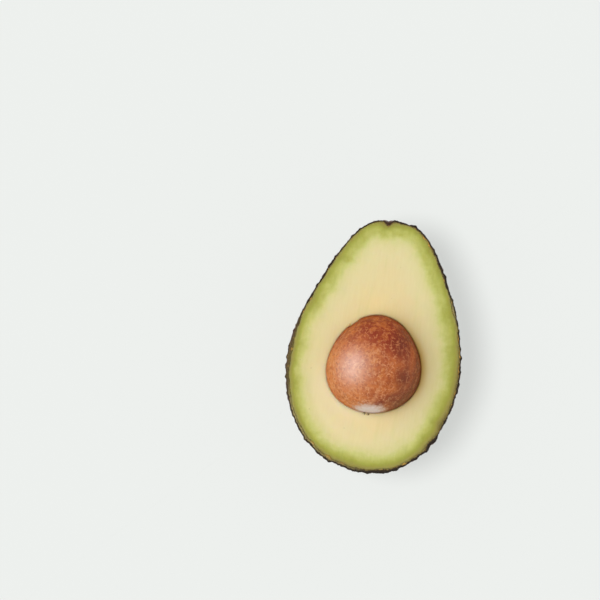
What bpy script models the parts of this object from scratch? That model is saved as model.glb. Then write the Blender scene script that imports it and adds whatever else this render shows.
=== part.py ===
"""Half a ripe avocado, cut side up, with its seed still in place.

The fruit is a body of revolution about its own length, cut in two through that axis.
Its pieces are the skin, the flesh that the skin holds, and the seed in its hollow.

Units are metres. +Y points to the stem end, +X across the fruit, +Z up. The origin lies on
the surface that the fruit rests on, under the middle of its length and width.
"""

import math

import bmesh
import bpy

# The fruit's outside.
LENGTH = 0.102  # from the stem end's shoulders to the blossom end
WIDTH = 0.070  # across the cut face at its widest
TAPER = 0.227  # how much fuller the blossom end is than the stem end
SHOULDER = 0.36  # extra fullness that makes the stem end blunt
SHOULDER_REACH = 0.048  # how far the blunt end reaches, as a share of the length
FLAT_DEPTH = 0.0006  # how far the belly is pressed in by lying on it

# The hollow where the stem grew.
DIMPLE_DEPTH = 0.0015
DIMPLE_RADIUS = 0.0025

# The skin, and the clearance that every piece keeps from the next.
SKIN_THICKNESS = 0.0012
FIT_GAP = 0.0003

# The seed.
SEED_LENGTH = 0.039
SEED_WIDTH = 0.0385
SEED_TAPER = 0.08  # how much fuller its blossom end is than its stem end
SEED_OFFSET = 0.0074  # from the middle of the fruit's length, towards the blossom end
SEED_SINK = 0.0005  # its middle's depth below the cut face

# How finely the round shapes are divided.
FRUIT_PROFILE_STEPS = 36
FRUIT_TURN_STEPS = 26
SEED_PROFILE_STEPS = 20
SEED_TURN_STEPS = 36
STEM_END_CROWDING = 1.3  # above 1, the profile's points crowd towards the stem dimple

CUT_HEIGHT = WIDTH / 2 - FLAT_DEPTH
SEED_CENTRE = (0.0, -SEED_OFFSET, CUT_HEIGHT - SEED_SINK)
WELD = 1e-6

SKIN_COLOUR = (0.075, 0.036, 0.022, 1.0)
FLESH_COLOUR = (0.72, 0.66, 0.30, 1.0)
SEED_COLOUR = (0.42, 0.165, 0.065, 1.0)


def clear_scene():
    """Removes whatever the scene already holds."""
    for old in list(bpy.data.objects):
        bpy.data.objects.remove(old)


def fruit_fullness(share):
    """Half-width at a share of the length from the stem end, before it is scaled."""
    blunt = SHOULDER * math.exp(-share / SHOULDER_REACH)
    return 2 * math.sqrt(share * (1 - share)) * (1 + TAPER * (2 * share - 1) + blunt)


def fruit_outline():
    """The outside's profile as (radius, y) points, from the stem end to the blossom end."""
    angles = [
        math.pi * (step / FRUIT_PROFILE_STEPS) ** STEM_END_CROWDING
        for step in range(FRUIT_PROFILE_STEPS + 1)
    ]
    shares = [(1 - math.cos(angle)) / 2 for angle in angles]
    shares[0], shares[-1] = 0.0, 1.0
    widest = max(fruit_fullness(step / 1000) for step in range(1001))
    radii = [fruit_fullness(share) * WIDTH / 2 / widest for share in shares]
    ys = [LENGTH * (0.5 - share) for share in shares]
    for i, (share, radius) in enumerate(zip(shares, radii)):
        if share < 0.5:
            ys[i] -= DIMPLE_DEPTH * math.exp(-((radius / DIMPLE_RADIUS) ** 2))
    middle = (max(ys) + min(ys)) / 2
    stretch = LENGTH / (max(ys) - min(ys))
    return [(r, (y - middle) * stretch) for r, y in zip(radii, ys)]


def inset(outline, distance):
    """The same profile moved inwards by a distance, square to its own line."""
    moved = []
    last = len(outline) - 1
    for i, (radius, y) in enumerate(outline):
        before, after = outline[max(i - 1, 0)], outline[min(i + 1, last)]
        along_r, along_y = after[0] - before[0], after[1] - before[1]
        if i in (0, last):
            along_r, along_y = abs(along_r), 0.0
            if i == last:
                along_r = -along_r
        size = math.hypot(along_r, along_y)
        new_radius = radius + distance * along_y / size
        moved.append((max(new_radius, 0.0), y - distance * along_r / size))
    moved[0], moved[-1] = (0.0, moved[0][1]), (0.0, moved[-1][1])
    return moved


def seed_outline(grown=0.0):
    """The seed's profile as (radius, y) points about its own middle, grown by a clearance."""
    points = []
    for step in range(SEED_PROFILE_STEPS + 1):
        angle = math.pi * step / SEED_PROFILE_STEPS
        fuller = 1 - SEED_TAPER * math.cos(angle)
        radius = (SEED_WIDTH / 2 + grown) * math.sin(angle) * fuller
        points.append((radius, (SEED_LENGTH / 2 + grown) * math.cos(angle)))
    widest = max(radius for radius, _ in points)
    fit = (SEED_WIDTH / 2 + grown) / widest
    return [(radius * fit, y) for radius, y in points]


def material(name, colour, roughness):
    """A Principled material of one colour."""
    made = bpy.data.materials.new(name)
    made.use_nodes = True
    shader = made.node_tree.nodes["Principled BSDF"]
    shader.inputs["Base Color"].default_value = colour
    shader.inputs["Roughness"].default_value = roughness
    shader.inputs["Metallic"].default_value = 0.0
    made.diffuse_color = colour
    return made


def object_of(bm, name, finish):
    """Welds a built mesh, turns its faces outwards and adds it to the scene as an object."""
    bmesh.ops.remove_doubles(bm, verts=bm.verts, dist=WELD)
    bmesh.ops.recalc_face_normals(bm, faces=bm.faces)
    mesh = bpy.data.meshes.new(name)
    bm.to_mesh(mesh)
    bm.free()
    mesh.shade_smooth()
    mesh.set_sharp_from_angle(angle=math.radians(40))
    made = bpy.data.objects.new(name, mesh)
    bpy.context.scene.collection.objects.link(made)
    if finish:
        made.data.materials.append(finish)
    return made


def half_turn(bm, name, finish):
    """Spins the faces drawn on the +X side of the cut face under the fruit to the -X side."""
    bmesh.ops.spin(
        bm,
        geom=bm.faces[:] + bm.edges[:] + bm.verts[:],
        cent=(0, 0, 0),
        axis=(0, 1, 0),
        angle=math.pi,
        steps=FRUIT_TURN_STEPS,
    )
    made = object_of(bm, name, finish)
    made.location = (0, 0, CUT_HEIGHT)
    return made


def full_turn(outline, name, finish):
    """Spins a profile right round the Y axis into a closed body about its own middle."""
    bm = bmesh.new()
    drawn = [bm.verts.new((radius, y, 0)) for radius, y in outline]
    for first, second in zip(drawn, drawn[1:]):
        bm.edges.new((first, second))
    bmesh.ops.spin(
        bm,
        geom=bm.edges[:] + bm.verts[:],
        cent=(0, 0, 0),
        axis=(0, 1, 0),
        angle=2 * math.pi,
        steps=SEED_TURN_STEPS,
        use_merge=True,
    )
    made = object_of(bm, name, finish)
    made.location = SEED_CENTRE
    return made


def cut(target, cutter):
    """Cuts a helper's shape out of an object with a Boolean modifier, and hides the helper."""
    cutter.hide_render = True
    cutter.display_type = "WIRE"
    boolean = target.modifiers.new("cut_" + cutter.name, "BOOLEAN")
    boolean.operation = "DIFFERENCE"
    boolean.solver = "EXACT"
    boolean.object = cutter


def make_skin(finish):
    """The peel: a band between two profiles, spun under the fruit and flat where it lies."""
    outer = fruit_outline()
    inner = inset(outer, SKIN_THICKNESS)
    bm = bmesh.new()
    outside = [bm.verts.new((radius, y, 0)) for radius, y in outer]
    inside = [bm.verts.new((radius, y, 0)) for radius, y in inner]
    for i in range(len(outer) - 1):
        bm.faces.new((outside[i], outside[i + 1], inside[i + 1], inside[i]))
    skin = half_turn(bm, "skin", finish)
    bm = bmesh.new()
    bmesh.ops.create_cube(bm, size=2 * LENGTH)
    table = object_of(bm, "table_cutter", None)
    table.location = (0, 0, -LENGTH)
    cut(skin, table)
    return skin


def make_flesh(finish):
    """The flesh: fills the skin but for the clearance, with a hollow round the seed."""
    outline = inset(fruit_outline(), SKIN_THICKNESS + FIT_GAP)
    bm = bmesh.new()
    bm.faces.new([bm.verts.new((radius, y, 0)) for radius, y in outline])
    flesh = half_turn(bm, "flesh", finish)
    cut(flesh, full_turn(seed_outline(FIT_GAP), "seed_hollow_cutter", None))
    return flesh


def make_seed(finish):
    """The seed: one solid, a little fuller at its blossom end."""
    return full_turn(seed_outline(), "seed", finish)


def main():
    """Builds the half fruit, with every piece standing on the one origin."""
    clear_scene()
    fruit = bpy.data.objects.new("half_avocado", None)
    bpy.context.scene.collection.objects.link(fruit)
    pieces = (
        make_skin(material("skin", SKIN_COLOUR, 0.45)),
        make_flesh(material("flesh", FLESH_COLOUR, 0.4)),
        make_seed(material("seed", SEED_COLOUR, 0.38)),
    )
    for piece in pieces:
        piece.parent = fruit


main()
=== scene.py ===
"""The looks of half a ripe avocado, lying cut side up with its seed in the hollow.

Four pieces are made inside the fixed frame: the pebbled skin with its ragged cut rim, the
cut flesh with the hollow, the seed in its papery coat, and a few dry shreds at the seed's
foot. A pale table, soft lamps, a pale sky and a camera over the table show them.

Units are metres. +Y points to the fruit's stem end, +X across the cut face, +Z up.
"""

import logging
import math
from dataclasses import dataclass, field
from enum import Enum
from typing import Sequence

import bmesh
import bpy
import numpy as np
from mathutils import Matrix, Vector


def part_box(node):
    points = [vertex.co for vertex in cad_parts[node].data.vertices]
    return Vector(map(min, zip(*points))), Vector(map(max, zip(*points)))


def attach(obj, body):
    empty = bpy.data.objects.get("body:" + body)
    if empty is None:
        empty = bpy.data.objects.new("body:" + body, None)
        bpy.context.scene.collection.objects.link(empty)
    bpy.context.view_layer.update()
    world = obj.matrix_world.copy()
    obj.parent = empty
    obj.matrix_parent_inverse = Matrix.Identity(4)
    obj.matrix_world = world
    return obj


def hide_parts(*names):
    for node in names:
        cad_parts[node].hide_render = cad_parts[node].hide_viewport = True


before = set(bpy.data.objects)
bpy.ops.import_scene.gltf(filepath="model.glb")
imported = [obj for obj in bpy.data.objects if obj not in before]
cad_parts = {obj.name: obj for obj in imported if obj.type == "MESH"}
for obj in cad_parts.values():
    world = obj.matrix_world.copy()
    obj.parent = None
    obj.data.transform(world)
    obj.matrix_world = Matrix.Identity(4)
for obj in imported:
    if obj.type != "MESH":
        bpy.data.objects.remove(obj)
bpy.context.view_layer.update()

MM = 0.001
BODY = "root"

Socket = bpy.types.NodeSocket
Triple = tuple[float, float, float]
Colour = tuple[float, float, float, float]
Steps = Sequence[tuple[float, Colour]]

log = logging.getLogger("avocado")


def tint(red: int, green: int, blue: int) -> Colour:
    """A linear colour for the shaders from the usual 0 to 255 display values.

    Args:
        red: display red.
        green: display green.
        blue: display blue.

    Returns:
        The linear colour, with full alpha.
    """
    shares = (value / 255 for value in (red, green, blue))
    linear = [s / 12.92 if s <= 0.04045 else ((s + 0.055) / 1.055) ** 2.4 for s in shares]
    return (linear[0], linear[1], linear[2], 1.0)


def grey(level: int) -> Colour:
    """A linear grey from its usual 0 to 255 display value."""
    return tint(level, level, level)


def eased(low: float, high: float, value: np.ndarray) -> np.ndarray:
    """A smooth step from 0 at low to 1 at high.

    Args:
        low: where the step starts.
        high: where it ends; below low, the step falls.
        value: the values to read it at.

    Returns:
        The step's height at each value.
    """
    share = np.clip((value - low) / (high - low), 0.0, 1.0)
    return share * share * (3 - 2 * share)


def hump(value: np.ndarray, middle: float, reach: float) -> np.ndarray:
    """A bell of height 1 at middle that fades over reach on both sides."""
    return np.exp(-(((value - middle) / reach) ** 2))


def turned(angles: np.ndarray, towards: float) -> np.ndarray:
    """How far each angle is from a bearing, in degrees between -180 and 180."""
    return (np.degrees(angles) - towards + 180) % 360 - 180


class Grain:
    """Smooth and cell-like noise in space, the same on every run."""

    def __init__(self, seed: int) -> None:
        """Keeps the seed that sets this grain apart from others."""
        self.seed = seed

    def _chance(self, cell: np.ndarray, salt: int) -> np.ndarray:
        """A random number from 0 to 1 for each whole-numbered cell.

        Args:
            cell: whole cell numbers, as rows of three.
            salt: sets one draw for a cell apart from the next.

        Returns:
            One number for each cell.
        """
        whole = cell.astype(np.int64).astype(np.uint32)
        mixed = whole[:, 0] * np.uint32(374761393) + whole[:, 1] * np.uint32(668265263)
        mixed = mixed + whole[:, 2] * np.uint32(2147483647)
        mixed = mixed + np.uint32((self.seed * 9781 + salt * 6271) % 2**31)
        for shift, factor in ((15, 2246822519), (13, 3266489917)):
            mixed = (mixed ^ (mixed >> np.uint32(shift))) * np.uint32(factor)
        return (mixed ^ (mixed >> np.uint32(16))).astype(np.float64) / 2**32

    def smooth(self, points: np.ndarray, size: float) -> np.ndarray:
        """Smooth noise between -1 and 1 whose lumps are about as wide as size.

        Args:
            points: places, as rows of three.
            size: the lumps' spacing.

        Returns:
            The noise at each place.
        """
        scaled = points / size + 1000.0
        base = np.floor(scaled)
        part = scaled - base
        fade = part**3 * (part * (part * 6 - 15) + 10)
        total = np.zeros(len(points))
        for corner in np.ndindex(2, 2, 2):
            at = np.array(corner)
            weight = np.prod(np.where(at, fade, 1 - fade), axis=1)
            total += weight * self._chance(base + at, 0)
        return total * 2 - 1

    def layered(self, points: np.ndarray, size: float, layers: int = 3) -> np.ndarray:
        """Smooth noise with finer and weaker noise laid over it.

        Args:
            points: places, as rows of three.
            size: the widest lumps' spacing.
            layers: how many sizes are laid over each other, each half the last.

        Returns:
            The noise at each place, between about -1 and 1.
        """
        shares = [0.5**layer for layer in range(layers)]
        total = sum(
            self.smooth(points + 0.37 * layer, size * share) * share for layer, share in enumerate(shares)
        )
        return total / sum(shares)

    def cells(self, points: np.ndarray, size: float) -> tuple[np.ndarray, np.ndarray, np.ndarray]:
        """Rounded cells, such as pebbles.

        Args:
            points: places, as rows of three.
            size: the cells' spacing.

        Returns:
            For each place its distance to the nearest cell's middle and how much further the
            next one is, both as shares of size, and that nearest cell's own random number.
        """
        scaled = points / size + 1000.0
        base = np.floor(scaled)
        nearest = np.full(len(points), 9.0)
        second = np.full(len(points), 9.0)
        own = np.zeros(len(points))
        for step in np.ndindex(3, 3, 3):
            cell = base + np.array(step) - 1
            spot = np.stack([self._chance(cell, salt) for salt in (1, 2, 3)], axis=1)
            away = np.linalg.norm(cell + spot - scaled, axis=1)
            closer = away < nearest
            second = np.where(closer, nearest, np.minimum(second, away))
            own = np.where(closer, self._chance(cell, 4), own)
            nearest = np.where(closer, away, nearest)
        return nearest, second - nearest, own


class Mix(Enum):
    """How one colour is laid over another."""

    PLAIN = "MIX"
    DARKEN = "MULTIPLY"
    OVERLAY = "OVERLAY"


class Sum(Enum):
    """What a maths node does with its two values."""

    ADD = "ADD"
    TAKE = "SUBTRACT"
    TIMES = "MULTIPLY"
    LEAST = "MINIMUM"
    MOST = "MAXIMUM"


class Sheet:
    """One material's node tree, with short calls that add its nodes and join them up."""

    def __init__(self, name: str) -> None:
        """Makes the material, whose tree starts with its principled shader.

        Args:
            name: the material's name.
        """
        self.material = bpy.data.materials.new(name)
        self.material.use_nodes = True
        self.tree = self.material.node_tree
        self.shader = self.tree.nodes["Principled BSDF"]

    def _node(self, kind: str, **inputs: object) -> bpy.types.Node:
        """Adds a node.

        Args:
            kind: the node's type.
            inputs: a value or a socket for each input, by its name.

        Returns:
            The node.
        """
        made = self.tree.nodes.new(kind)
        for name, value in inputs.items():
            self.set(made.inputs[name], value)
        return made

    def set(self, socket: Socket, value: object) -> None:
        """Joins a socket to another, or writes a plain value on it.

        Args:
            socket: the input to set.
            value: another node's output, or the plain value.
        """
        if isinstance(value, bpy.types.NodeSocket):
            self.tree.links.new(value, socket)
        else:
            socket.default_value = value

    def dress(self, **inputs: object) -> None:
        """Sets inputs of the principled shader.

        Args:
            inputs: a value or a socket for each input, by its name with _ for a space.
        """
        for name, value in inputs.items():
            self.set(self.shader.inputs[name.replace("_", " ")], value)

    def place(self, middle: Triple = (0, 0, 0), stretch: Triple = (1, 1, 1)) -> Socket:
        """The place on the piece, in metres.

        Args:
            middle: the point that places are counted from.
            stretch: how much longer a pattern gets along each axis.

        Returns:
            The place as a vector.
        """
        own_place = self._node("ShaderNodeTexCoord").outputs["Object"]
        mapping = self._node("ShaderNodeMapping", Vector=own_place)
        scale = [1 / s for s in stretch]
        mapping.inputs["Scale"].default_value = scale
        mapping.inputs["Location"].default_value = [-m * s for m, s in zip(middle, scale)]
        return mapping.outputs["Vector"]

    def painted(self, name: str, output: str = "Fac") -> Socket:
        """What the mesh holds at each of its points under a name.

        Args:
            name: the painted name.
            output: "Fac" for a number, "Vector" for a place.

        Returns:
            The number or the place.
        """
        made = self._node("ShaderNodeAttribute")
        made.attribute_name = name
        return made.outputs[output]

    def noise(
        self, place: Socket, size: float, detail: float = 3.0, rough: float = 0.5, swirl: float = 0.0
    ) -> Socket:
        """Cloudy noise from 0 to 1.

        Args:
            place: where to read it.
            size: the clouds' spacing, in metres.
            detail: how many finer layers it has.
            rough: how strong the finer layers are.
            swirl: how much it is pulled about.

        Returns:
            The noise.
        """
        made = self._node("ShaderNodeTexNoise", Vector=place, Scale=1 / size, Detail=detail)
        made.inputs["Roughness"].default_value = rough
        made.inputs["Distortion"].default_value = swirl
        return made.outputs["Fac"]

    def pulled(self, place: Socket, size: float, reach: float) -> Socket:
        """The place pulled about by cloudy noise, so that what is read there wanders.

        Args:
            place: the place to start from.
            size: the clouds' spacing, in metres.
            reach: how far places are pulled, in metres.

        Returns:
            The pulled place.
        """
        cloud = self._node("ShaderNodeTexNoise", Vector=place, Scale=1 / size, Detail=2.0)
        moved = self.tree.nodes.new("ShaderNodeVectorMath")
        moved.operation = "MULTIPLY_ADD"
        self.set(moved.inputs[0], cloud.outputs["Color"])
        moved.inputs[1].default_value = (reach, reach, reach)
        self.set(moved.inputs[2], place)
        return moved.outputs["Vector"]

    def cells(self, place: Socket, size: float, edges: bool = False) -> Socket:
        """A pattern of rounded cells.

        Args:
            place: where to read it.
            size: the cells' spacing, in metres.
            edges: whether it is measured from the cells' borders, not from their middles.

        Returns:
            The distance to the nearest cell's middle or border.
        """
        made = self._node("ShaderNodeTexVoronoi", Vector=place, Scale=1 / size)
        made.feature = "DISTANCE_TO_EDGE" if edges else "F1"
        return made.outputs["Distance"]

    def span(self, value: Socket, low: float, high: float, start: float = 0.0, end: float = 1.0) -> Socket:
        """A smooth step of a value.

        Args:
            value: the value to read.
            low: the value at which the step starts.
            high: the value at which it ends.
            start: what comes out below low.
            end: what comes out above high.

        Returns:
            The stepped value.
        """
        made = self._node("ShaderNodeMapRange", Value=value)
        made.interpolation_type = "SMOOTHSTEP"
        for name, number in (("From Min", low), ("From Max", high), ("To Min", start), ("To Max", end)):
            made.inputs[name].default_value = number
        return made.outputs["Result"]

    def scaled(self, value: Socket, low: float, high: float) -> Socket:
        """A value's place between two others.

        Args:
            value: the value to read.
            low: the value that gives 0.
            high: the value that gives 1.

        Returns:
            The place as a share from 0 to 1.
        """
        made = self._node("ShaderNodeMapRange", Value=value)
        made.inputs["From Min"].default_value = low
        made.inputs["From Max"].default_value = high
        return made.outputs["Result"]

    def sum(self, kind: Sum, first: object, second: object) -> Socket:
        """One sum of two values.

        Args:
            kind: what is done with them.
            first: the first value, a number or a socket.
            second: the second value.

        Returns:
            The sum.
        """
        made = self.tree.nodes.new("ShaderNodeMath")
        made.operation = kind.value
        self.set(made.inputs[0], first)
        self.set(made.inputs[1], second)
        return made.outputs["Value"]

    def ramp(self, value: Socket, steps: Steps) -> Socket:
        """A colour read off a row of colours.

        Args:
            value: where to read it, from 0 to 1.
            steps: each colour with its place from 0 to 1.

        Returns:
            The colour.
        """
        made = self._node("ShaderNodeValToRGB", Fac=value)
        row = made.color_ramp.elements
        while len(row) < len(steps):
            row.new(0.5)
        for element, (at, colour) in zip(row, sorted(steps)):
            element.position = at
            element.color = colour
        return made.outputs["Color"]

    def mix(self, share: object, under: object, over: object, how: Mix = Mix.PLAIN) -> Socket:
        """Lays one colour over another.

        Args:
            share: how much of the upper colour shows, from 0 to 1.
            under: the lower colour.
            over: the upper colour.
            how: the way it is laid on.

        Returns:
            The mixed colour.
        """
        made = self.tree.nodes.new("ShaderNodeMix")
        made.data_type = "RGBA"
        made.blend_type = how.value
        for index, value in ((0, share), (6, under), (7, over)):
            self.set(made.inputs[index], value)
        return made.outputs[2]

    def relief(self, height: Socket, depth: float, under: Socket | None = None) -> Socket:
        """A fine relief for the shader's normal.

        Args:
            height: the relief's height, from 0 to 1.
            depth: how deep it is, in metres.
            under: a coarser relief that this one lies on.

        Returns:
            The bent normal.
        """
        made = self._node("ShaderNodeBump", Height=height, Strength=1.0, Distance=depth)
        if under is not None:
            self.set(made.inputs["Normal"], under)
        return made.outputs["Normal"]


@dataclass
class Skeleton:
    """A surface of closed rings, joined from one to the next, with numbers painted on it."""

    rings: list[np.ndarray] = field(default_factory=list)
    paints: list[dict[str, np.ndarray]] = field(default_factory=list)

    def ring(self, points: np.ndarray, **paint: np.ndarray | float) -> None:
        """Adds a ring, or a single point as its end.

        Args:
            points: the ring's points in order, as rows of three.
            paint: a number, or one for each point, under each painted name.
        """
        self.rings.append(points)
        self.paints.append({name: np.broadcast_to(value, len(points)) for name, value in paint.items()})

    def faces(self) -> np.ndarray:
        """The triangles between each ring and the next, whatever their counts.

        Returns:
            The triangles, as rows of three point numbers.
        """
        faces, start = [], 0
        for first, second in zip(self.rings, self.rings[1:]):
            many, next_many = len(first), len(second)
            ends = np.arange(1, many + 1) / many
            next_ends = np.arange(1, next_many + 1) / next_many
            if many > 1:
                here = np.arange(many)
                apex = np.searchsorted(next_ends, ends - 1e-9) % next_many
                faces.append(np.stack([start + here, start + (here + 1) % many, start + many + apex], axis=1))
            if next_many > 1:
                there = np.arange(next_many)
                apex = np.searchsorted(ends, next_ends + 1e-9, side="right") % many
                after = start + many + (there + 1) % next_many
                faces.append(np.stack([start + apex, after, start + many + there], axis=1))
            start += many
        return np.concatenate(faces)

    def build(self, name: str, material: bpy.types.Material) -> bpy.types.Object:
        """Makes the surface as an object.

        Args:
            name: the piece's name.
            material: its finish.

        Returns:
            The object, smooth and with its faces pointing out.
        """
        paint = {key: np.concatenate([row[key] for row in self.paints]) for key in self.paints[0]}
        return built(name, np.concatenate(self.rings), self.faces(), paint, material)


def built(
    name: str,
    points: np.ndarray,
    faces: np.ndarray,
    paint: dict[str, np.ndarray],
    material: bpy.types.Material,
) -> bpy.types.Object:
    """Makes a closed mesh object with painted numbers.

    Args:
        name: the piece's name.
        points: its points, as rows of three.
        faces: its triangles, as rows of three point numbers.
        paint: a number or a row of three for each point, under each painted name.
        material: its finish.

    Returns:
        The object, smooth and with its faces pointing out.
    """
    mesh = bpy.data.meshes.new(name)
    mesh.from_pydata(points.tolist(), [], faces.tolist())
    for key, values in paint.items():
        wide = values.ndim == 2
        attribute = mesh.attributes.new(key, "FLOAT_VECTOR" if wide else "FLOAT", "POINT")
        attribute.data.foreach_set("vector" if wide else "value", values.astype(np.float32).ravel())
    shaped = bmesh.new()
    shaped.from_mesh(mesh)
    bmesh.ops.recalc_face_normals(shaped, faces=shaped.faces)
    shaped.to_mesh(mesh)
    shaped.free()
    mesh.shade_smooth()
    mesh.materials.append(material)
    made = bpy.data.objects.new(name, mesh)
    bpy.context.scene.collection.objects.link(made)
    return made


def headings(angles: np.ndarray, dip: float) -> np.ndarray:
    """Unit directions at bearings round the upright, all dipping below the cut face alike.

    Args:
        angles: the bearings in radians.
        dip: how far they dip, as an angle in radians.

    Returns:
        The directions, as rows of three.
    """
    flat = math.cos(dip)
    down = np.full(len(angles), -math.sin(dip))
    return np.stack([np.cos(angles) * flat, np.sin(angles) * flat, down], axis=1)


@dataclass(frozen=True)
class Swell:
    """A low swelling of the fruit's side, or a dent if its height is negative."""

    bearing: float
    reach: float
    height: float

    def push(self, angles: np.ndarray) -> np.ndarray:
        """How far it pushes the side out at each angle."""
        return self.height * hump(turned(angles, self.bearing), 0.0, self.reach)


@dataclass
class Fruit:
    """The whole fruit's smooth outside, round about its length, and its bearings.

    Every direction is counted from the middle point, which lies in the cut face under the
    middle of the seed.
    """

    length: float
    width: float
    cut: float
    centre: float
    taper: float = 0.227
    shoulder: float = 0.36
    shoulder_reach: float = 0.048
    swells: tuple[Swell, ...] = (
        Swell(50, 14, -0.30 * MM),
        Swell(86, 14, -0.60 * MM),
        Swell(133, 18, -1.05 * MM),
        Swell(160, 8, -0.28 * MM),
        Swell(203, 16, -0.36 * MM),
        Swell(228, 21, -0.95 * MM),
        Swell(258, 12, -0.46 * MM),
        Swell(288, 9, 0.60 * MM),
        Swell(328, 13, -0.95 * MM),
        Swell(343, 8, -0.24 * MM),
    )
    pit_bearing: float = 93.0
    pit_depth: float = 1.5 * MM
    pit_reach: float = 1.5 * MM

    def __post_init__(self) -> None:
        """Works out the profile as distances and normals by the angle from the middle point."""
        share = (1 - np.cos(np.linspace(0, math.pi, 4001))) / 2
        blunt = self.shoulder * np.exp(-share / self.shoulder_reach)
        full = 2 * np.sqrt(share * (1 - share)) * (1 + self.taper * (2 * share - 1) + blunt)
        radius = full * self.width / 2 / full.max()
        y = self.length * (0.5 - share)
        along_r, along_y = np.gradient(radius), np.gradient(y)
        size = np.hypot(along_r, along_y)
        self.rise = np.arctan2(y - self.centre, radius)[::-1]
        self.far = np.hypot(y - self.centre, radius)[::-1]
        self.lean_r = (-along_y / size)[::-1]
        self.lean_y = (along_r / size)[::-1]
        fine = np.linspace(-math.pi / 2, 1.5 * math.pi, 6001)
        rim, _ = self._even(headings(fine, 0.0))
        steps = np.linalg.norm(np.diff(rim, axis=0), axis=1)
        self.walked = np.concatenate([[0.0], np.cumsum(steps)])
        self.bearing = fine

    @property
    def middle(self) -> np.ndarray:
        """The point in the cut face that every direction is counted from."""
        return np.array([0.0, self.centre, self.cut])

    @property
    def pit(self) -> np.ndarray:
        """The point on the rim where the stem stood."""
        spot, _ = self._even(headings(np.radians([self.pit_bearing]), 0.0))
        return spot[0]

    def outside(self, directions: np.ndarray) -> tuple[np.ndarray, np.ndarray]:
        """The outside met in each direction, with its swellings and the stem's pit.

        Args:
            directions: unit directions from the middle point, as rows of three.

        Returns:
            The points met, and the outward normals there.
        """
        points, normals = self._even(directions)
        bearing = np.arctan2(directions[:, 1], directions[:, 0])
        level = np.hypot(directions[:, 0], directions[:, 1])
        push = sum(swell.push(bearing) for swell in self.swells) * level**2
        push = push - self.pit_depth * self.near_pit(points, self.pit_reach)
        return points + normals * push[:, None], normals

    def near_pit(self, points: np.ndarray, reach: float) -> np.ndarray:
        """How near places are to the stem's pit, from 1 at it down to 0."""
        return hump(np.linalg.norm(points - self.pit, axis=1), 0.0, reach)

    def _even(self, directions: np.ndarray) -> tuple[np.ndarray, np.ndarray]:
        """The perfectly round outside met in each direction.

        Args:
            directions: unit directions from the middle point, as rows of three.

        Returns:
            The points met, and the outward normals there.
        """
        rise = np.arcsin(np.clip(directions[:, 1], -1, 1))
        far = np.interp(rise, self.rise, self.far)
        lean_r = np.interp(rise, self.rise, self.lean_r)
        lean_y = np.interp(rise, self.rise, self.lean_y)
        across = np.maximum(np.hypot(directions[:, 0], directions[:, 2]), 1e-9)
        normals = np.stack(
            [lean_r * directions[:, 0] / across, lean_y, lean_r * directions[:, 2] / across], axis=1
        )
        return self.middle + directions * far[:, None], normals

    def bearings(self, count: int) -> np.ndarray:
        """Bearings that stand evenly along the rim.

        Args:
            count: how many there are.

        Returns:
            The angles, from the blossom end round by +X.
        """
        return np.interp(np.arange(count) / count * self.walked[-1], self.walked, self.bearing)


@dataclass(frozen=True)
class Fleck:
    """A short stretch of the cut rim that shows amber."""

    bearing: float
    reach: float
    strength: float

    def shown(self, angles: np.ndarray) -> np.ndarray:
        """How strongly it shows at each angle."""
        return self.strength * hump(turned(angles, self.bearing), 0.0, self.reach)


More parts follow.
